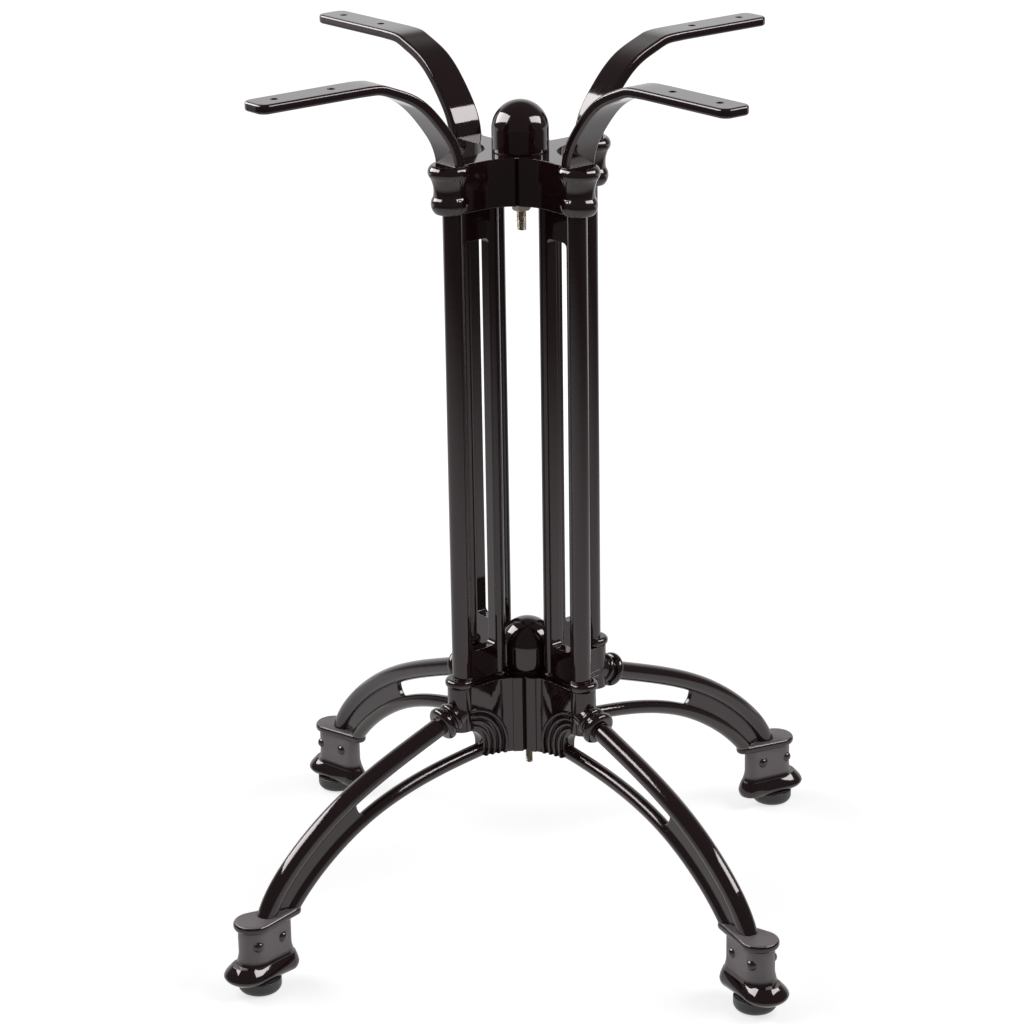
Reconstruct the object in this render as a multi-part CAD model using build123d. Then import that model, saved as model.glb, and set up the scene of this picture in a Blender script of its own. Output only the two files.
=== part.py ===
import os
from math import asin, cos, pi, radians, sin, tan

from build123d import *

os.makedirs("parts", exist_ok=True)

# Frame: millimetres, origin on the floor under the middle, Z up.
# The four legs point along -Y (front), +X (right), +Y (back) and -X (left).

# the stack, from the floor up
lower_hub_bottom = 141.2
lower_hub_height = 65.8
column_length = 399.2
upper_hub_height = 38.8
arm_rise = 75.0
column_foot_z = lower_hub_bottom + lower_hub_height
upper_hub_bottom = column_foot_z + column_length
upper_hub_top = upper_hub_bottom + upper_hub_height
top_z = upper_hub_top + arm_rise

# tie rods, washers and nuts
upper_rod_radius = 4.0
upper_rod_below_hub = 25.6
upper_washer_radius = 8.0
upper_nut_flats = 13.0
upper_nut_height = 7.6
lower_rod_radius = 3.0
lower_rod_below_hub = 22.0
lower_washer_radius = 6.0
lower_nut_flats = 10.0
lower_nut_height = 5.6
rod_fit = 0.06
rod_clearance = 0.3
rod_in_dome = 25.0
rod_point = 0.9
washer_thickness = 2.0
washer_clearance = 0.2
nut_crown = 0.9

# dome caps
dome_radius = 22.8
dome_cylinder = 17.8
dome_foot_round = 0.8
dome_seat_step = 2.0
dome_seat_z = column_foot_z + dome_seat_step

# hub plan, the same for the upper and lower hub
plate_half = 10.0
hub_hollow_radius = 36.0
seam_groove_depth = 2.0
seam_groove_half_angle = 2.6
pilaster_height = 1.2
pilaster_root = 1.5
pilaster_end_angle = 15.5

# columns: an outer and an inner bar joined by a web at each end
column_outer_r = 69.2
column_outer_radius = 8.0
column_inner_radius = 6.2
column_web_half = 4.6
column_slot_foot = 29.0
column_slot_head = 25.0
column_slot_corner = 4.0
inner_foot_radius = 8.0
inner_foot_height = 4.0
inner_foot_round = 1.6
inner_foot_gap = 0.5
bead_offset = 2.3
foot_bead_radius = 12.4
foot_bead_height = 7.5
column_inner_r = dome_radius + inner_foot_gap + inner_foot_radius
bead_r = column_outer_r + bead_offset

# threaded studs hidden in the column ends
column_stud_radius = 4.0
column_stud_fit = 0.05
column_stud_depth = 18.0
column_stud_end_gap = 0.5

# beaded collars that carry the arms
collar_foot_radius = 12.0
collar_low_bead_radius = 15.0
collar_low_bead_z = 7.0
collar_low_neck = (13.1, 13.4)
collar_waist = (12.9, 21.0)
collar_high_neck = (15.2, 10.4)
collar_high_bead_radius = 17.0
collar_high_bead_drop = 5.8
collar_crown_radius = 13.6

# arms: the strap's upper side runs from the collar to the pad, as shares of its run and rise
arm_tip_r = 254.0
pad_length = 88.0
pad_thickness = 7.6
pad_corner = 8.0
strap_width = 28.0
strap_thickness = 9.2
strap_edge = 2.2
strap_run_rise = [(-0.062, -0.067), (-0.012, 0.219), (0.145, 0.509), (0.439, 0.835), (0.655, 0.949), (1, 1)]
strap_under_points = 12
screw_hole_radius = 3.25
outer_screw_inset = 21.0
screw_spacing = 52.0
pad_start_r = arm_tip_r - pad_length

# glides
glide_r = 281.0
glide_radius = 17.6
glide_rim_height = 11.8
glide_neck_height = 0.8
glide_neck_radius = 15.4
glide_foot_round = 6.0
glide_rim_round = 0.8
stem_radius = 5.0
stem_fit = 0.05
stem_floor = 5.0
stem_length = 41.0
stem_headroom = 4.0
stem_point = 0.9

# shoes, in plan a drop between a small heel and a wide toe: (distance out from the glide, radius)
sole_heel = (-25.0, 11.6)
sole_toe = (11.5, 19.0)
sole_thickness = 14.0
sole_crown = 7.0
sole_power = 1.4
sole_under = 4.2
sole_widest = 0.36
sole_heel_share = 0.4
shoe_body_heel = (-23.0, 7.6)
shoe_body_toe = (4.0, 12.6)
shoe_body_height = 29.4
flare_width = 2.2
flare_height = 10.0
profile_steps = 4
flange_heel = (-35.0, 6.4)
flange_toe = (4.0, 16.0)
flange_thickness = 7.0
flange_round = 3.0
shoe_stud_radius = 4.6
shoe_stud_sink = 1.9
shoe_stud_height = 17.6
shoe_stud_places = [-18.0, 7.0]
shoe_bottom = glide_rim_height + glide_neck_height
sole_top = shoe_bottom + sole_thickness
flange_bottom = sole_top + shoe_body_height
flange_top = flange_bottom + flange_thickness

# leg bars, as shares of the run from column to glide and of the rise from shoe to hub
upper_bar_radius = 8.0
upper_bar_run_rise = [
    (-0.006, 0.858), (0.287, 0.701), (0.603, 0.493), (0.727, 0.372), (0.838, 0.232), (0.920, 0.090),
    (0.962, -0.035),
]
lower_bar_radius = 5.9
lower_bar_run_rise = [
    (-0.157, 1.066), (0.122, 0.982), (0.381, 0.818), (0.504, 0.683), (0.641, 0.466), (0.757, 0.217),
    (0.849, -0.051),
]
leg_web_half = 2.2
web_start_on_upper = 0.47
web_start_on_lower = 0.57
slot_end_bulge = 0.34

# slot at the leg's root, with a fan of stepped ridges round its inner end
slot_arch_radius = 15.5
slot_arch_inset = 0.6
slot_arch_height = 10.0
terrace_count = 4
terrace_first = 4.6
terrace_step = 5.0
terrace_half = 5.6
terrace_half_step = 1.3
ridge_half_width = 1.35
ridge_rise = 1.4
ridge_round = 1.0
ridge_start_angle = 66.0
ridge_end_angle = 225.0

# shoulder under the column's foot, and the ringed neck where the upper bar starts
shoulder_radius = 10.6
shoulder_gap = 2.5
neck_radius = 10.8
neck_out_down = (2.8, 21.8)
ring_out_down = (20.8, 28.4)
ring_radius = 14.4
ring_half_width = 4.0
second_ring_radius = 12.8
second_ring_half_width = 2.6
second_ring_back = 8.6

# how far a cut runs past a face, and the span of a cutter that must reach right across
overrun = 1.0
reach = 100.0

quarters = {"right": 0.0, "back": 90.0, "left": 180.0, "front": 270.0}
upwards = (Align.CENTER, Align.CENTER, Align.MIN)


def upright(r, z):
    # a side profile is drawn as (radius, height) and stands in the plane of its leg
    return Vector(r, 0, z)


def polar(cx, cy, radius, angle):
    return (cx + radius * cos(radians(angle)), cy + radius * sin(radians(angle)))


def tall(face, low, high):
    return Pos(0, 0, low) * extrude(face, high - low)


def post(radius, low, high, r=0.0):
    return Pos(r, 0, low) * Cylinder(radius, high - low, align=upwards)


def rims(shape):
    return shape.edges().filter_by(GeomType.CIRCLE).sort_by(Axis.Z)


def hub_plan(far, grow=0.0, groove=True):
    # one quarter of a hub between the two seams, with a plate running out to the given radius
    centre = plate_half + hub_hollow_radius
    hollow = hub_hollow_radius - grow
    skip = seam_groove_half_angle if groove else 0.0
    depth = seam_groove_depth if groove else 0.0
    seam = centre - (hollow + depth) * cos(pi / 4)
    start = polar(centre, centre, hollow, 225.0 + skip)
    middle = polar(centre, centre, hollow, 247.5)
    end = (centre, centre - hollow)
    sides = []
    for sign in (1.0, -1.0):
        arc = [(x, sign * y) for x, y in (start, middle, end)]
        sides.append(Line((0, 0), (seam, sign * seam)))
        if groove:
            sides.append(Line((seam, sign * seam), arc[0]))
        sides.append(ThreePointArc(*arc))
        sides.append(Line(arc[2], (far, sign * end[1])))
    sides.append(Line((far, end[1]), (far, -end[1])))
    return make_face(sides)


def pilaster_plan(sign):
    # raised strip beside a seam
    centre = plate_half + hub_hollow_radius
    a = 225.0 + seam_groove_half_angle
    b = 225.0 + pilaster_end_angle
    rows = []
    for radius in (hub_hollow_radius - pilaster_height, hub_hollow_radius + pilaster_root):
        row = [polar(centre, centre, radius, angle) for angle in (a, (a + b) / 2, b)]
        rows.append([(x, sign * y) for x, y in row])
    front, back = rows
    return make_face([
        ThreePointArc(*front), Line(front[2], back[2]), ThreePointArc(*back), Line(back[0], front[0]),
    ])


def drop_plan(heel, toe):
    # outline round two circles of different size on the leg's centre line
    (hx, hr), (tx, tr) = heel, toe
    lean = asin((tr - hr) / (tx - hx))
    hp = (hx - hr * sin(lean), hr * cos(lean))
    tp = (tx - tr * sin(lean), tr * cos(lean))
    return make_face([
        Line(hp, tp),
        ThreePointArc(tp, (tx + tr, 0), (tp[0], -tp[1])),
        Line((tp[0], -tp[1]), (hp[0], -hp[1])),
        ThreePointArc((hp[0], -hp[1]), (hx - hr, 0), hp),
    ])


def drop_half_width(heel, toe, place):
    (hx, hr), (tx, tr) = heel, toe
    lean = asin((tr - hr) / (tx - hx))
    if place > tx - tr * sin(lean):
        return (tr ** 2 - (place - tx) ** 2) ** 0.5
    return hr / cos(lean) + (place - hx) * tan(lean)


def ring_on_bar(spot, direction, half_width, radius):
    # a rounded ring about a sloping bar
    disc = Plane(origin=spot, z_dir=direction) * Cylinder(radius, 2 * half_width)
    return fillet(disc.edges().filter_by(GeomType.CIRCLE), half_width * 0.94)


def bar_line(shares, root_z):
    run = glide_r - column_outer_r
    rise = root_z - flange_top
    return Spline(*[upright(column_outer_r + a * run, flange_top + b * rise) for a, b in shares])


def bar(path, radius):
    return sweep(Plane(origin=path @ 0, z_dir=path % 0) * Circle(radius), path=path)


def stud_bore(low, high):
    return post(column_stud_radius + column_stud_fit, low, high, column_outer_r)


def stacked(heel, toe, low, high, grow, heel_share=1.0):
    # a drop whose sides swell or shrink with the share of its height, less at the heel where asked
    plans = []
    for step in range(profile_steps + 1):
        share = step / profile_steps
        swell = grow(share)
        plan = drop_plan((heel[0], heel[1] + heel_share * swell), (toe[0], toe[1] + swell))
        plans.append(Pos(0, 0, low + share * (high - low)) * plan)
    return loft(plans)


def make_shoe():
    flange = tall(drop_plan(flange_heel, flange_toe), flange_bottom, flange_top)
    flange = fillet(flange.faces().filter_by(Axis.Z).edges(), flange_round)
    widest_z = shoe_bottom + sole_widest * sole_thickness
    under = stacked(
        sole_heel, sole_toe, shoe_bottom, widest_z, lambda s: -sole_under * (1 - s) ** 2, sole_heel_share
    )
    crown = stacked(
        sole_heel, sole_toe, widest_z, sole_top, lambda s: -sole_crown * s ** sole_power, sole_heel_share
    )
    flare_top = sole_top + flare_height
    flare = stacked(
        shoe_body_heel, shoe_body_toe, sole_top, flare_top, lambda s: flare_width * (1 - sin(s * pi / 2))
    )
    body = tall(drop_plan(shoe_body_heel, shoe_body_toe), sole_top - overrun, flange_bottom + overrun)
    shoe = flange + under + crown + flare + body
    for place in shoe_stud_places:
        half = drop_half_width(shoe_body_heel, shoe_body_toe, place) - shoe_stud_sink
        for sign in (1.0, -1.0):
            shoe += Pos(place, sign * half, sole_top + shoe_stud_height) * Sphere(shoe_stud_radius)
    return Pos(glide_r, 0, 0) * shoe


def rounded_ridge(ridge):
    # its curved edges run round the slot's end, and only those above the hub's underside are rounded
    curved = ridge.edges() - ridge.edges().filter_by(GeomType.LINE)
    return fillet([edge for edge in curved if edge.center().Z > lower_hub_bottom + overrun], ridge_round)


def make_lower_hub():
    hub = tall(hub_plan(column_outer_r), lower_hub_bottom, column_foot_z)
    for sign in (1.0, -1.0):
        hub += tall(pilaster_plan(sign), lower_hub_bottom, column_foot_z)
    seat = post(dome_radius, column_foot_z - overrun, dome_seat_z)
    hub += seat & tall(hub_plan(column_outer_r, groove=False), column_foot_z - overrun, dome_seat_z)

    cx = column_outer_r - slot_arch_inset
    cz = lower_hub_bottom + slot_arch_height
    middle_angle = (ridge_start_angle + ridge_end_angle) / 2
    rim = [upright(*polar(cx, cz, reach, a)) for a in (ridge_start_angle, middle_angle, ridge_end_angle)]
    sector = make_face([Line(upright(cx, cz), rim[0]), ThreePointArc(*rim), Line(rim[2], upright(cx, cz))])
    fan = extrude(sector, reach, both=True)
    across = Pos(cx, 0, cz) * Rot(90, 0, 0)
    inside = slot_arch_radius - overrun
    ridges = []
    whole = tall(hub_plan(column_outer_r, ridge_rise, False), lower_hub_bottom, column_foot_z) & fan
    for step in range(terrace_count):
        edge = slot_arch_radius + terrace_first + step * terrace_step
        half = terrace_half + step * terrace_half_step
        shell = across * (Cylinder(edge, reach) - Cylinder(inside, reach)) & fan
        hub -= shell - Pos(cx, 0, cz) * Box(2 * reach, 2 * half, 2 * reach)
        band = across * (Cylinder(edge + ridge_half_width, reach) - Cylinder(edge - ridge_half_width, reach))
        ridge = band & whole
        if step < terrace_count - 1:
            crest = half + terrace_half_step + ridge_rise
            ridge = ridge & Pos(cx, 0, cz) * Box(2 * reach, 2 * crest, 2 * reach)
        ridges.append(rounded_ridge(ridge))
        inside = edge
    for ridge in ridges:
        hub += ridge
    mouth = Pos(cx - slot_arch_radius, 0, cz) * Box(
        reach, reach, slot_arch_height + overrun, align=(Align.MIN, Align.CENTER, Align.MAX)
    )
    return hub - across * Cylinder(slot_arch_radius, reach) - mouth


def make_leg():
    neck_spot = upright(column_outer_r + neck_out_down[0], column_foot_z - neck_out_down[1])
    ring_spot = upright(column_outer_r + ring_out_down[0], column_foot_z - ring_out_down[1])
    neck_line = Line(neck_spot, ring_spot)
    direction = neck_line % 0
    second_spot = ring_spot - direction * second_ring_back
    shoulder_low = lower_hub_bottom + slot_arch_height + slot_arch_radius + shoulder_gap
    upper_line = bar_line(upper_bar_run_rise, column_foot_z)
    lower_line = bar_line(lower_bar_run_rise, lower_hub_bottom)
    upper_edge = upper_line.trim(web_start_on_upper, 1.0)
    lower_edge = lower_line.trim(web_start_on_lower, 1.0)
    chord = upper_edge @ 0 - lower_edge @ 0
    slot_end = (upper_edge @ 0 + lower_edge @ 0) / 2 + slot_end_bulge * upright(chord.Z, -chord.X)
    web = make_face([
        upper_edge, Line(upper_edge @ 1, lower_edge @ 1), lower_edge,
        ThreePointArc(lower_edge @ 0, slot_end, upper_edge @ 0),
    ])

    leg = make_lower_hub()
    leg += post(shoulder_radius, shoulder_low, column_foot_z, bead_r)
    leg += bar(neck_line, neck_radius)
    leg += ring_on_bar(ring_spot, direction, ring_half_width, ring_radius)
    leg += ring_on_bar(second_spot, direction, second_ring_half_width, second_ring_radius)
    leg += bar(upper_line, upper_bar_radius)
    leg += bar(lower_line, lower_bar_radius)
    leg += extrude(web, leg_web_half, both=True)
    leg += make_shoe()
    leg -= post(lower_rod_radius + rod_clearance, 0, top_z)
    leg -= stud_bore(column_foot_z - column_stud_depth, column_foot_z + overrun)
    leg -= post(stem_radius + stem_fit, 0, stem_floor + stem_length + stem_headroom, glide_r)
    return leg


def make_column():
    outer = post(column_outer_radius, column_foot_z, upper_hub_bottom, column_outer_r)
    inner = post(column_inner_radius, column_foot_z, upper_hub_bottom, column_inner_r)
    bead = post(foot_bead_radius, column_foot_z, column_foot_z + foot_bead_height, bead_r)
    bead = fillet(rims(bead), foot_bead_height * 0.46)
    foot = post(inner_foot_radius, column_foot_z, column_foot_z + inner_foot_height, column_inner_r)
    foot = fillet(rims(foot)[-1], inner_foot_round)
    span = column_outer_r - column_inner_r
    web = Pos(column_inner_r, 0, column_foot_z) * Box(
        span, 2 * column_web_half, column_length, align=(Align.MIN, Align.CENTER, Align.MIN)
    )
    gap = Pos(column_inner_r + column_inner_radius, 0, column_foot_z + column_slot_foot) * Box(
        span - column_inner_radius - column_outer_radius, 2 * column_outer_radius,
        column_length - column_slot_foot - column_slot_head, align=(Align.MIN, Align.CENTER, Align.MIN)
    )
    gap = fillet(gap.edges().filter_by(Axis.Y), column_slot_corner)
    column = outer + inner + (web - gap) + bead + foot
    column -= stud_bore(column_foot_z - overrun, column_foot_z + column_stud_depth)
    column -= stud_bore(upper_hub_bottom - column_stud_depth, upper_hub_bottom + overrun)
    return column


def make_collar():
    low, high = upper_hub_bottom, upper_hub_top
    foot = upright(collar_foot_radius, low)
    low_neck = upright(collar_low_neck[0], low + collar_low_neck[1])
    high_neck = upright(collar_high_neck[0], high - collar_high_neck[1])
    crown = upright(collar_crown_radius, high)
    outline = [
        Line(upright(0, low), foot),
        ThreePointArc(foot, upright(collar_low_bead_radius, low + collar_low_bead_z), low_neck),
        ThreePointArc(low_neck, upright(collar_waist[0], low + collar_waist[1]), high_neck),
        ThreePointArc(high_neck, upright(collar_high_bead_radius, high - collar_high_bead_drop), crown),
        Line(crown, upright(0, high)),
        Line(upright(0, high), upright(0, low)),
    ]
    return Pos(bead_r, 0, 0) * revolve(make_face(outline), Axis.Z)


def make_strap():
    run = pad_start_r - bead_r
    spots = [upright(bead_r + a * run, upper_hub_top + b * arm_rise) for a, b in strap_run_rise]
    top = Spline(*spots, tangents=[upright(0, 1), upright(1, 0)])
    under = []
    for step in range(strap_under_points + 1):
        share = step / strap_under_points
        thick = strap_thickness + share * (pad_thickness - strap_thickness)
        spot, way = top @ share, top % share
        under.append(upright(spot.X + way.Z * thick, spot.Z - way.X * thick))
    tip = upright(arm_tip_r, top_z)
    tip_under = upright(arm_tip_r, top_z - pad_thickness)
    below = Spline(*reversed(under), tangents=[upright(-1, 0), upright(0, -1)])
    side = make_face([
        top, Line(top @ 1, tip), Line(tip, tip_under), Line(tip_under, under[-1]), below,
        Line(under[0], top @ 0),
    ])
    strap = extrude(side, strap_width / 2, both=True)
    strap = fillet(strap.edges().filter_by(Axis.Z).sort_by(Axis.X)[-2:], pad_corner)
    seams = strap.edges().filter_by(Axis.Y).sort_by(Axis.X)[:-2]
    long_edges = strap.edges() - strap.edges().filter_by(Axis.Z) - seams
    return fillet([e for e in long_edges if e.center().Z > upper_hub_top], strap_edge)


def make_arm():
    arm = tall(hub_plan(column_outer_r), upper_hub_bottom, upper_hub_top)
    arm += make_collar()
    arm += make_strap()
    arm -= post(upper_rod_radius + rod_clearance, 0, top_z)
    for place in (arm_tip_r - outer_screw_inset, arm_tip_r - outer_screw_inset - screw_spacing):
        arm -= post(screw_hole_radius, top_z - pad_thickness - overrun, top_z + overrun, place)
    arm -= stud_bore(upper_hub_bottom - overrun, upper_hub_bottom + column_stud_depth)
    return arm


def make_dome(seat, rod_radius):
    spring = seat + dome_cylinder
    crown = upright(0, spring + dome_radius)
    outline = [
        Line(upright(0, seat), upright(dome_radius, seat)),
        Line(upright(dome_radius, seat), upright(dome_radius, spring)),
        ThreePointArc(upright(dome_radius, spring), upright(*polar(0, spring, dome_radius, 45.0)), crown),
        Line(crown, upright(0, seat)),
    ]
    dome = revolve(make_face(outline), Axis.Z)
    dome = fillet(rims(dome)[0], dome_foot_round)
    return dome - post(rod_radius + rod_fit, seat - overrun, seat + rod_in_dome + overrun)


def make_rod(low, seat, rod_radius):
    rod = post(rod_radius, low, seat + rod_in_dome)
    return chamfer(rims(rod), rod_point)


def make_washer(hub_bottom, rod_radius, radius):
    disc = post(radius, hub_bottom - washer_thickness, hub_bottom)
    return disc - post(rod_radius + washer_clearance, 0, top_z)


def make_nut(high, rod_radius, flats, height):
    low = high - height
    corner = flats / 2 / cos(pi / 6)
    block = tall(RegularPolygon(corner, 6), low, high)
    block = block & chamfer(rims(post(corner, low, high)), nut_crown)
    return block - post(rod_radius + rod_fit, 0, top_z)


def make_glide():
    pad = post(glide_radius, 0, glide_rim_height)
    pad = fillet(rims(pad)[0], glide_foot_round)
    pad = fillet(rims(pad)[-1], glide_rim_round)
    pad += post(glide_neck_radius, glide_rim_height - overrun, shoe_bottom)
    pad -= post(stem_radius + stem_fit, stem_floor, shoe_bottom + overrun)
    return Pos(glide_r, 0, 0) * pad


def make_stem():
    stem = post(stem_radius, stem_floor, stem_floor + stem_length, glide_r)
    return chamfer(rims(stem)[-1], stem_point)


def make_column_studs(joint_z):
    half = column_stud_depth - column_stud_end_gap
    pin = post(column_stud_radius, joint_z - half, joint_z + half, column_outer_r)
    return Compound(children=[Rot(0, 0, angle) * pin for angle in quarters.values()])


def save(shape, name):
    export_step(shape, f"parts/{name}.step")


quarter_shapes = {
    "arm": make_arm(), "column": make_column(), "leg": make_leg(), "glide": make_glide(),
    "glide_stem": make_stem(),
}
for side, angle in quarters.items():
    for name, shape in quarter_shapes.items():
        save(Rot(0, 0, angle) * shape, f"{name}_{side}")
save(make_dome(upper_hub_top, upper_rod_radius), "dome_cap_upper")
save(make_dome(dome_seat_z, lower_rod_radius), "dome_cap_lower")
save(make_rod(upper_hub_bottom - upper_rod_below_hub, upper_hub_top, upper_rod_radius), "tie_rod_upper")
save(make_rod(lower_hub_bottom - lower_rod_below_hub, dome_seat_z, lower_rod_radius), "tie_rod_lower")
save(make_washer(upper_hub_bottom, upper_rod_radius, upper_washer_radius), "washer_upper")
save(make_washer(lower_hub_bottom, lower_rod_radius, lower_washer_radius), "washer_lower")
upper_nut_top = upper_hub_bottom - washer_thickness
lower_nut_top = lower_hub_bottom - washer_thickness
save(make_nut(upper_nut_top, upper_rod_radius, upper_nut_flats, upper_nut_height), "nut_upper")
save(make_nut(lower_nut_top, lower_rod_radius, lower_nut_flats, lower_nut_height), "nut_lower")
save(make_column_studs(upper_hub_bottom), "column_studs_upper")
save(make_column_studs(column_foot_z), "column_studs_lower")
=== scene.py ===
import bpy
from math import cos, pi, radians, sin, sqrt
from mathutils import Matrix, Quaternion, Vector


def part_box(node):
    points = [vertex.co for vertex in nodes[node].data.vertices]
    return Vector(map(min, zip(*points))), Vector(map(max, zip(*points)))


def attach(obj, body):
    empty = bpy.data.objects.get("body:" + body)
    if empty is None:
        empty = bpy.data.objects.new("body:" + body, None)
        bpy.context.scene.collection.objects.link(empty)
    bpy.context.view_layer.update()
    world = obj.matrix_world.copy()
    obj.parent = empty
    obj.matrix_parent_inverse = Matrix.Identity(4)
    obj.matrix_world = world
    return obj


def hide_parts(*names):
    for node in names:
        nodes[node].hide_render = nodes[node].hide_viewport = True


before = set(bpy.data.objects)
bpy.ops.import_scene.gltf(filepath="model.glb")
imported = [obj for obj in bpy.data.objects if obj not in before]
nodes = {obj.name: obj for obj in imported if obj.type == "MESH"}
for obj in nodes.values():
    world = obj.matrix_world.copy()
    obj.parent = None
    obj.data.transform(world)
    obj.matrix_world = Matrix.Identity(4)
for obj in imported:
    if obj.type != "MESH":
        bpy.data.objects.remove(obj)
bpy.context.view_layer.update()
sides = ["right", "back", "left", "front"]
print("frame loaded with", len(nodes), "nodes")


# camera

cameraSetup = {
    "azimuth": 51.475,  # degrees round from looking along +Y
    "elevation": 19.442,
    "roll": -0.907,
    "distance": 2.658,
    "aimRight": -0.01123,  # aim point, to the camera's right of the middle
    "aimHeight": 0.3419,
    "sensor": 36.0,
    "lens": 113.84,
    "clipEnd": 60.0,
}


def viewAxes(azimuth, elevation):
    a, e = radians(azimuth), radians(elevation)
    back = Vector((sin(a) * cos(e), -cos(a) * cos(e), sin(e)))
    right = Vector((cos(a), sin(a), 0.0))
    return right, back.cross(right), back


def addCamera():
    s = cameraSetup
    right, up, back = viewAxes(s["azimuth"], s["elevation"])
    roll = radians(s["roll"])
    tiltedRight = cos(roll) * right + sin(roll) * up
    tiltedUp = cos(roll) * up - sin(roll) * right
    place = Vector((0, 0, s["aimHeight"])) + s["aimRight"] * right + s["distance"] * back
    bpy.ops.object.camera_add(location=place)
    camera = bpy.context.object
    camera.name = "photoCamera"
    turn = Matrix((tiltedRight, tiltedUp, back)).transposed()
    camera.rotation_euler = turn.to_euler()
    camera.data.sensor_width = s["sensor"]
    camera.data.lens = s["lens"]
    camera.data.clip_end = s["clipEnd"]
    bpy.context.scene.camera = camera


addCamera()
print("camera placed")


# node helpers

def addNode(tree, kind, inputs=None, **settings):
    node = tree.nodes.new(kind)
    for key, value in settings.items():
        setattr(node, key, value)
    for key, value in (inputs or {}).items():
        socket = node.inputs[key]
        if isinstance(value, bpy.types.NodeSocket):
            tree.links.new(value, socket)
        else:
            socket.default_value = value
    return node


def emptyMaterial(name):
    material = bpy.data.materials.new(name)
    material.use_nodes = True
    material.node_tree.nodes.clear()
    return material, material.node_tree


def combine(tree, operation, first, second):
    return addNode(tree, "ShaderNodeMath", {0: first, 1: second}, operation=operation).outputs[0]


def measure(tree, operation, first, second):
    node = addNode(tree, "ShaderNodeVectorMath", {0: first, 1: second}, operation=operation)
    return node.outputs["Value"]


def blend(tree, factor, first, second, kind="RGBA"):
    node = addNode(tree, "ShaderNodeMix", {"Factor": factor, "A": first, "B": second}, data_type=kind)
    return node.outputs["Result"]


def smoothFade(tree, value, start, end, low, high):
    return addNode(tree, "ShaderNodeMapRange", {
        "Value": value, "From Min": start, "From Max": end, "To Min": low, "To Max": high,
    }, interpolation_type="SMOOTHSTEP").outputs[0]


def smoothBand(tree, value, rise, full, fall, end):
    up = smoothFade(tree, value, rise, full, 0.0, 1.0)
    down = smoothFade(tree, value, fall, end, 1.0, 0.0)
    return combine(tree, "MULTIPLY", up, down)


# studio: white paper, two long softboxes, a pale wall behind

studio = {
    "floorRadius": 9.0,
    "floorCorners": 96,
    "paperGlow": (0.70, 0.95),  # how white the camera sees the paper, by the base and far off
    "paperGlowReach": (0.45, 1.60),
    "paperShade": 0.50,
    "paperBounce": 0.76,
    "paintedPoolMiddle": (-0.20, 0.10),  # painted pool of light on the floor, glowing only in reflections; its middle: right, toward the camera
    "paintedPoolReach": (0.70, 2.10),
    "paintedPoolGlow": (0.88, 0.10),
    "sweepReach": (0.35, 1.50),  # behind the base the paper stays bright all the way to the wall
    "wallBright": 1.05,  # the wall behind, in reflections
    "wallSpread": (0.45, 0.90),  # 1 is straight behind the base
    "wallTop": (0.50, 0.80),  # 1 is straight up
    "roomFront": 0.14,
    "roomLight": 0.25,
    "lampHeight": 0.66,  # height that the lamps' directions are taken from
    "lampDistance": 1.6,
    "boxGlow": 11.0,  # how bright a softbox's face is in reflections
}
softboxes = {  # azimuths are degrees round from the camera's side
    "leftSoftbox": {
        "azimuth": -97.0, "elevation": 30.0, "lean": 25.0, "size": (1.90, 0.78), "power": 18.0,
    },
    "rightSoftbox": {
        "azimuth": 79.0, "elevation": 30.0, "lean": -25.0, "size": (1.40, 0.58), "power": 16.0,
    },
}
cameraRight, _, cameraBack = viewAxes(cameraSetup["azimuth"], 0.0)


def chooseByRay(tree, plain, mirrored, seen):
    # what lights the base, what its gloss shows, what the camera sees
    path = addNode(tree, "ShaderNodeLightPath")
    shiny = combine(tree, "MAXIMUM", path.outputs["Is Glossy Ray"], path.outputs["Is Transmission Ray"])
    unseen = addNode(tree, "ShaderNodeMixShader", {0: shiny, 1: plain.outputs[0], 2: mirrored.outputs[0]})
    return addNode(tree, "ShaderNodeMixShader", {
        0: path.outputs["Is Camera Ray"], 1: unseen.outputs[0], 2: seen.outputs[0],
    })


def greyPaper(tree, tone):
    return addNode(tree, "ShaderNodeBsdfDiffuse", {"Color": (tone, tone, tone, 1)})


def makeFloor():
    s = studio
    bpy.ops.object.select_all(action="DESELECT")
    bpy.ops.mesh.primitive_circle_add(
        vertices=s["floorCorners"], radius=s["floorRadius"], fill_type="NGON")
    floor = bpy.context.object
    floor.name = "studioFloor"
    material, tree = emptyMaterial("studioPaper")
    place = addNode(tree, "ShaderNodeTexCoord").outputs["Object"]
    paintedPoolMiddle = s["paintedPoolMiddle"][0] * cameraRight + s["paintedPoolMiddle"][1] * cameraBack
    # painted pool of light: in reflections the paper glows bright round the base and fades further off
    paintedPool = smoothFade(tree, measure(tree, "DISTANCE", place, paintedPoolMiddle), *s["paintedPoolReach"], *s["paintedPoolGlow"])
    behind = measure(tree, "DOT_PRODUCT", place, -cameraBack)
    sweep = smoothFade(tree, behind, *s["sweepReach"], 0.0, s["wallBright"])
    mirrored = addNode(tree, "ShaderNodeEmission", {"Strength": combine(tree, "MAXIMUM", paintedPool, sweep)})
    fromBase = measure(tree, "DISTANCE", place, (0, 0, 0))
    glow = smoothFade(tree, fromBase, *s["paperGlowReach"], *s["paperGlow"])
    white = addNode(tree, "ShaderNodeEmission", {"Strength": glow})
    paper = greyPaper(tree, s["paperShade"])
    seen = addNode(tree, "ShaderNodeAddShader", {0: paper.outputs[0], 1: white.outputs[0]})
    surface = chooseByRay(tree, greyPaper(tree, s["paperBounce"]), mirrored, seen)
    addNode(tree, "ShaderNodeOutputMaterial", {"Surface": surface.outputs[0]})
    floor.data.materials.append(material)


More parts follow.
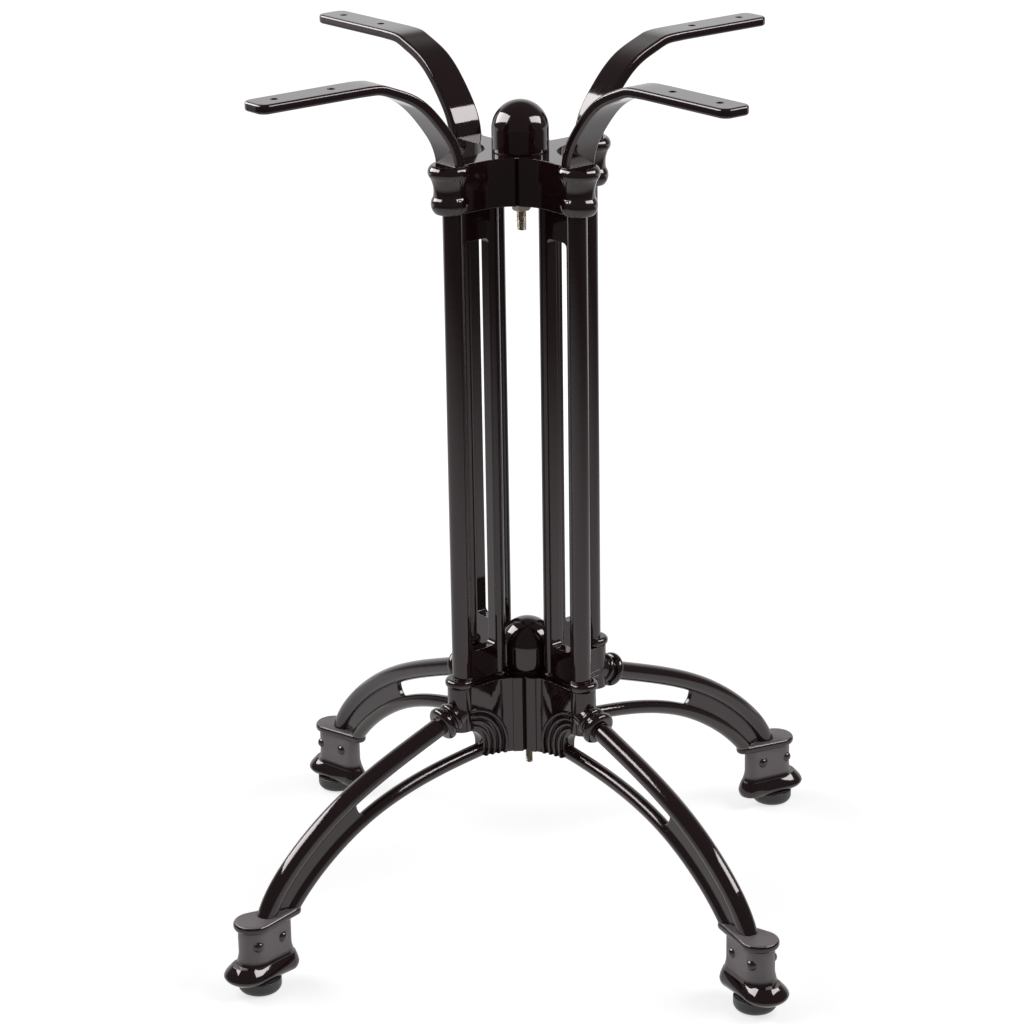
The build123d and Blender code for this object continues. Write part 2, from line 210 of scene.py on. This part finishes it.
def makeWorld():
    s = studio
    world = bpy.data.worlds.new("studioWorld")
    bpy.context.scene.world = world
    world.use_nodes = True
    tree = world.node_tree
    tree.nodes.clear()
    way = addNode(tree, "ShaderNodeTexCoord").outputs["Generated"]
    behind = smoothFade(tree, measure(tree, "DOT_PRODUCT", way, -cameraBack), *s["wallSpread"], 0.0, 1.0)
    below = smoothFade(tree, measure(tree, "DOT_PRODUCT", way, (0, 0, 1)), *s["wallTop"], 1.0, 0.0)
    glow = addNode(tree, "ShaderNodeMapRange", {
        "Value": combine(tree, "MULTIPLY", behind, below),
        "To Min": s["roomFront"], "To Max": s["wallBright"],
    }).outputs[0]
    room, mirrored, white = (
        addNode(tree, "ShaderNodeBackground", {"Color": (1, 1, 1, 1), "Strength": strength})
        for strength in (s["roomLight"], glow, 1.0)
    )
    surface = chooseByRay(tree, room, mirrored, white)
    addNode(tree, "ShaderNodeOutputWorld", {"Surface": surface.outputs[0]})


def addSoftbox(name, setup):
    s = studio
    a, e = radians(setup["azimuth"]), radians(setup["elevation"])
    way = cos(e) * (sin(a) * cameraRight + cos(a) * cameraBack) + Vector((0, 0, sin(e)))
    place = Vector((0, 0, s["lampHeight"])) + s["lampDistance"] * way
    lean = Quaternion((0, 0, 1), radians(setup["lean"]))
    turn = (way.to_track_quat("Z", "Y") @ lean).to_euler()
    bpy.ops.object.light_add(type="AREA", location=place, rotation=turn)
    lamp = bpy.context.object
    lamp.name = name
    lamp.data.shape = "RECTANGLE"
    lamp.data.size, lamp.data.size_y = setup["size"]
    lamp.data.energy = setup["power"]
    lamp.visible_glossy = False  # the cloth face below is what gloss shows
    bpy.ops.object.select_all(action="DESELECT")
    bpy.ops.mesh.primitive_plane_add(size=1.0, location=place, rotation=turn)
    face = bpy.context.object
    face.name = name + "Face"
    face.scale = (*setup["size"], 1.0)
    face.visible_camera = False
    face.visible_diffuse = False
    face.visible_shadow = False
    face.visible_transmission = False
    material, tree = emptyMaterial(name + "Cloth")
    cloth = addNode(tree, "ShaderNodeEmission", {"Strength": s["boxGlow"]})
    addNode(tree, "ShaderNodeOutputMaterial", {"Surface": cloth.outputs[0]})
    material.cycles.emission_sampling = "NONE"
    face.data.materials.append(material)


makeFloor()
makeWorld()
for name, setup in softboxes.items():
    addSoftbox(name, setup)
bpy.context.scene.view_settings.view_transform = "Standard"
print("studio ready")


# finishes

unevennessLook = {
    "Patches": {"Scale": 16.0, "Detail": 3.0},
    "Grain": {"Scale": 900.0, "Detail": 2.0},
    "Peel": {"Scale": 260.0, "Detail": 1.0},
}
noiseSpan = (0.3, 0.7)  # nearly all of a noise's values lie between these


def makeUnevenness():
    # slow patches, fine grain and orange peel, for every finish to use in its own measure
    group = bpy.data.node_groups.new("surfaceUnevenness", "ShaderNodeTree")
    group.interface.new_socket("Vector", in_out="INPUT", socket_type="NodeSocketVector")
    for label in unevennessLook:
        group.interface.new_socket(label, in_out="OUTPUT", socket_type="NodeSocketFloat")
    given = addNode(group, "NodeGroupInput")
    result = addNode(group, "NodeGroupOutput")
    for label, setup in unevennessLook.items():
        noise = addNode(group, "ShaderNodeTexNoise", {"Vector": given.outputs["Vector"], **setup})
        group.links.new(noise.outputs["Fac"], result.inputs[label])
    return group


unevenness = makeUnevenness()


def startFinish(name):
    material, tree = emptyMaterial(name)
    shader = addNode(tree, "ShaderNodeBsdfPrincipled")
    addNode(tree, "ShaderNodeOutputMaterial", {"Surface": shader.outputs[0]})
    place = addNode(tree, "ShaderNodeTexCoord").outputs["Object"]
    group = addNode(tree, "ShaderNodeGroup", node_tree=unevenness)
    tree.links.new(place, group.inputs["Vector"])
    return material, tree, shader, place, group.outputs


enamelLook = {
    "deep": (0.0105, 0.0034, 0.0042, 1),  # black with a little red-brown in it
    "thin": (0.0150, 0.0054, 0.0062, 1),
    "gloss": (0.045, 0.080),
    "refraction": 1.6,
    "sheen": (1.0, 0.93, 0.94, 1),
    "peelDepth": 0.00003,
    "sandDepth": 0.00012,
    "bumpStrength": 0.5,
    "fineEdge": 0.0007,  # softness of edges, and that of the legs' rounder ones
    "softEdge": 0.0022,
    "softReach": (0.095, 0.115),
    "softHeights": (0.064, 0.070, 0.20, 0.24),
    "edgeSamples": 6,
}
castAndSheenLook = {  # the shoes' walls and the tops of their flanges are cast rough under the paint, and their lighter grey tone is a painted sheen
    # lighter grey: painted sheen standing in for the reflections on the rough walls
    "tone": (0.130, 0.113, 0.121, 1),
    "gloss": 0.50,
    "reach": (0.235, 0.239),
    "wallHeights": (0.0282, 0.0320, 0.0552, 0.0562),
    "flangeHeights": (0.0622, 0.0632),
    "studs": [(0.2630, 0.0068, 0.0442), (0.2880, 0.0103, 0.0442)],  # these stay glossy
    "studReach": (0.0044, 0.0054),
}


def foldedPlace(tree, place):
    # the four legs folded on to one half of one leg: distance out, distance aside, height
    size = addNode(tree, "ShaderNodeVectorMath", {0: place}, operation="ABSOLUTE").outputs[0]
    x, y, height = addNode(tree, "ShaderNodeSeparateXYZ", {0: size}).outputs
    out = combine(tree, "MAXIMUM", x, y)
    aside = combine(tree, "MINIMUM", x, y)
    folded = addNode(tree, "ShaderNodeCombineXYZ", {0: out, 1: aside, 2: height})
    return folded.outputs[0], out, height


# mask of the rough cast walls and flange tops, which also carries their painted sheen
def castAndSheenMask(tree, folded, out, height):
    look = castAndSheenLook
    wall = smoothBand(tree, height, *look["wallHeights"])
    low, high = look["flangeHeights"]
    flangeTop = addNode(tree, "ShaderNodeMath", {
        0: height, 1: (low + high) / 2, 2: (high - low) / 2,
    }, operation="COMPARE").outputs[0]
    roughAndSheen = combine(tree, "MAXIMUM", wall, flangeTop)
    for stud in look["studs"]:
        away = measure(tree, "DISTANCE", folded, stud)
        roughAndSheen = combine(tree, "MULTIPLY", roughAndSheen, smoothFade(tree, away, *look["studReach"], 0.0, 1.0))
    onShoe = smoothFade(tree, out, *look["reach"], 0.0, 1.0)
    return combine(tree, "MULTIPLY", roughAndSheen, onShoe)


def softEdges(tree, out, height):
    look = enamelLook
    alongLeg = smoothFade(tree, out, *look["softReach"], 0.0, 1.0)
    onLeg = combine(tree, "MULTIPLY", alongLeg, smoothBand(tree, height, *look["softHeights"]))
    radius = addNode(tree, "ShaderNodeMapRange", {
        "Value": onLeg, "To Min": look["fineEdge"], "To Max": look["softEdge"],
    }).outputs[0]
    return addNode(tree, "ShaderNodeBevel", {"Radius": radius}, samples=look["edgeSamples"]).outputs[0]


def makeEnamel():
    look = enamelLook
    material, tree, shader, place, uneven = startFinish("blackEnamel")
    folded, out, height = foldedPlace(tree, place)
    roughAndSheen = castAndSheenMask(tree, folded, out, height)
    tint = blend(tree, uneven["Patches"], look["deep"], look["thin"])
    # shoe walls and flange tops get a lighter grey base colour: a painted sheen, besides their real
    # roughness
    tree.links.new(blend(tree, roughAndSheen, tint, castAndSheenLook["tone"]), shader.inputs["Base Color"])
    gloss = smoothFade(tree, uneven["Patches"], *noiseSpan, *look["gloss"])
    tree.links.new(blend(tree, roughAndSheen, gloss, castAndSheenLook["gloss"], "FLOAT"), shader.inputs["Roughness"])
    shader.inputs["IOR"].default_value = look["refraction"]
    shader.inputs["Specular Tint"].default_value = look["sheen"]
    peel = addNode(tree, "ShaderNodeBump", {
        "Height": uneven["Peel"], "Distance": look["peelDepth"], "Strength": look["bumpStrength"],
        "Normal": softEdges(tree, out, height),
    })
    sand = addNode(tree, "ShaderNodeBump", {
        "Height": combine(tree, "MULTIPLY", uneven["Grain"], roughAndSheen), "Distance": look["sandDepth"],
        "Strength": look["bumpStrength"], "Normal": peel.outputs[0],
    })
    tree.links.new(sand.outputs[0], shader.inputs["Normal"])
    return material


zincLook = {
    "bright": (0.60, 0.55, 0.48, 1),
    "dull": (0.38, 0.34, 0.28, 1),
    "tarnish": (0.12, 0.42),
    "gloss": (0.30, 0.46),
}


def makeZinc():
    look = zincLook
    material, tree, shader, _, uneven = startFinish("zincSteel")
    mottle = combine(tree, "MULTIPLY", uneven["Patches"], uneven["Peel"])
    cleanness = smoothFade(tree, mottle, *look["tarnish"], 0.0, 1.0)
    tree.links.new(blend(tree, cleanness, look["dull"], look["bright"]), shader.inputs["Base Color"])
    shader.inputs["Metallic"].default_value = 1.0
    gloss = smoothFade(tree, uneven["Grain"], *noiseSpan, *look["gloss"])
    tree.links.new(gloss, shader.inputs["Roughness"])
    return material


plasticLook = {
    "dark": (0.031, 0.029, 0.029, 1),
    "pale": (0.046, 0.043, 0.043, 1),
    "scuffed": (0.080, 0.075, 0.071, 1),
    "scuffHeight": 0.005,  # scuffs show up to here above the floor
    "scuffPeel": (0.48, 0.66),
    "scuffMost": 0.8,
    "gloss": (0.38, 0.52),
    "grainDepth": 0.00004,
    "grainStrength": 0.4,
}


def makePlastic():
    look = plasticLook
    material, tree, shader, place, uneven = startFinish("blackPlastic")
    tint = blend(tree, uneven["Patches"], look["dark"], look["pale"])
    height = addNode(tree, "ShaderNodeSeparateXYZ", {0: place}).outputs["Z"]
    nearFloor = smoothFade(tree, height, 0.0, look["scuffHeight"], 1.0, 0.0)
    rubbed = smoothFade(tree, uneven["Peel"], *look["scuffPeel"], 0.0, look["scuffMost"])
    scuffs = combine(tree, "MULTIPLY", nearFloor, rubbed)
    tree.links.new(blend(tree, scuffs, tint, look["scuffed"]), shader.inputs["Base Color"])
    gloss = smoothFade(tree, uneven["Patches"], *noiseSpan, *look["gloss"])
    tree.links.new(gloss, shader.inputs["Roughness"])
    bump = addNode(tree, "ShaderNodeBump", {
        "Height": uneven["Grain"], "Distance": look["grainDepth"], "Strength": look["grainStrength"],
    })
    tree.links.new(bump.outputs[0], shader.inputs["Normal"])
    return material


enamel = makeEnamel()
zinc = makeZinc()
plastic = makePlastic()


def giveFinish(name, node):
    if name.startswith(("tie_rod", "washer", "nut", "column_studs", "glide_stem")):
        material = zinc
    elif name.startswith("glide"):
        material = plastic
    else:
        material = enamel
    node.data.materials.clear()
    node.data.materials.append(material)


for name, node in nodes.items():
    giveFinish(name, node)
print("finishes assigned")


# threaded rods and stems, in place of the plain ones

threads = {
    "upperTieRod": {"node": "tie_rod_upper", "pitch": 0.00125, "depth": 0.00070},
    "lowerTieRod": {"node": "tie_rod_lower", "pitch": 0.00100, "depth": 0.00056},
    "glideStem": {"node": "glide_stem_right", "pitch": 0.00150, "depth": 0.00085},
}
threadCut = {
    "stepsRound": 28,
    "spareTurns": 3,  # wound past both ends, then cut off
    "mergeGap": 0.00001,
    "smoothAngle": 30.0,
}


def addTooth(radius, pitch, depth, bottom):
    # a three-cornered ring, point outwards, with its base edge taken away
    ringSide, ringHeight = sqrt(3), 1.5  # of a ring of radius 1
    bpy.ops.object.select_all(action="DESELECT")
    bpy.ops.mesh.primitive_circle_add(
        vertices=3, radius=1.0, fill_type="NOTHING",
        location=(radius - depth / ringHeight, 0, bottom), rotation=(pi / 2, pi / 2, 0))
    tooth = bpy.context.object
    tooth.scale = (pitch / ringSide, depth / ringHeight, 1.0)
    bpy.ops.object.transform_apply(location=True, rotation=True, scale=True)
    halfDepth = radius - depth / 2
    for vertex in tooth.data.vertices:
        vertex.select = vertex.co.x < halfDepth
    for edge in tooth.data.edges:
        edge.select = all(tooth.data.vertices[i].select for i in edge.vertices)
    bpy.ops.object.mode_set(mode="EDIT")
    bpy.ops.mesh.select_mode(type="EDGE")
    bpy.ops.mesh.delete(type="EDGE")
    bpy.ops.object.mode_set(mode="OBJECT")
    return tooth


def makeThread(name, setup):
    cut = threadCut
    pitch, depth = setup["pitch"], setup["depth"]
    low, high = (Vector(corner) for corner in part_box(setup["node"]))
    middle = (low + high) / 2
    rod = addTooth((high.y - low.y) / 2, pitch, depth, low.z - pitch)
    rod.name = name
    winding = rod.modifiers.new("winding", "SCREW")
    winding.axis = "Z"
    winding.angle = 2 * pi
    winding.screw_offset = pitch
    winding.iterations = int((high.z - low.z) / pitch) + cut["spareTurns"]
    winding.steps = winding.render_steps = cut["stepsRound"]
    bpy.ops.object.modifier_apply(modifier="winding")
    bpy.ops.object.mode_set(mode="EDIT")
    bpy.ops.mesh.select_all(action="SELECT")
    bpy.ops.mesh.remove_doubles(threshold=cut["mergeGap"])
    for height, inner, outer in ((low.z, True, False), (high.z, False, True)):
        bpy.ops.mesh.select_all(action="SELECT")
        bpy.ops.mesh.bisect(plane_co=(0, 0, height), plane_no=(0, 0, 1), use_fill=True,
                            clear_inner=inner, clear_outer=outer)
    bpy.ops.mesh.select_all(action="SELECT")
    bpy.ops.transform.translate(value=(middle.x, middle.y, 0))
    bpy.ops.mesh.normals_make_consistent(inside=False)
    bpy.ops.object.mode_set(mode="OBJECT")
    bpy.ops.object.shade_smooth_by_angle(angle=radians(cut["smoothAngle"]))
    rod.data.materials.append(zinc)
    return rod


def copyTurned(piece, name, angle):
    copy = piece.copy()
    copy.data = piece.data.copy()
    copy.name = name
    bpy.context.collection.objects.link(copy)
    bpy.ops.object.select_all(action="DESELECT")
    copy.select_set(True)
    bpy.context.view_layer.objects.active = copy
    copy.rotation_euler = (0, 0, angle)
    bpy.ops.object.transform_apply(location=True, rotation=True, scale=True)
    return copy


def fitPiece(piece, node, body):
    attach(piece, body)
    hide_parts(node)


for name in ("upperTieRod", "lowerTieRod"):
    fitPiece(makeThread(name, threads[name]), threads[name]["node"], "frame")
firstStem = makeThread("glideStem_right", threads["glideStem"])
for quarter, side in enumerate(sides):
    stem = firstStem
    if quarter:  # the other sides get turned copies of the first stem
        stem = copyTurned(firstStem, "glideStem_" + side, quarter * pi / 2)
    fitPiece(stem, "glide_stem_" + side, "glide_" + side)
print("threads cut")
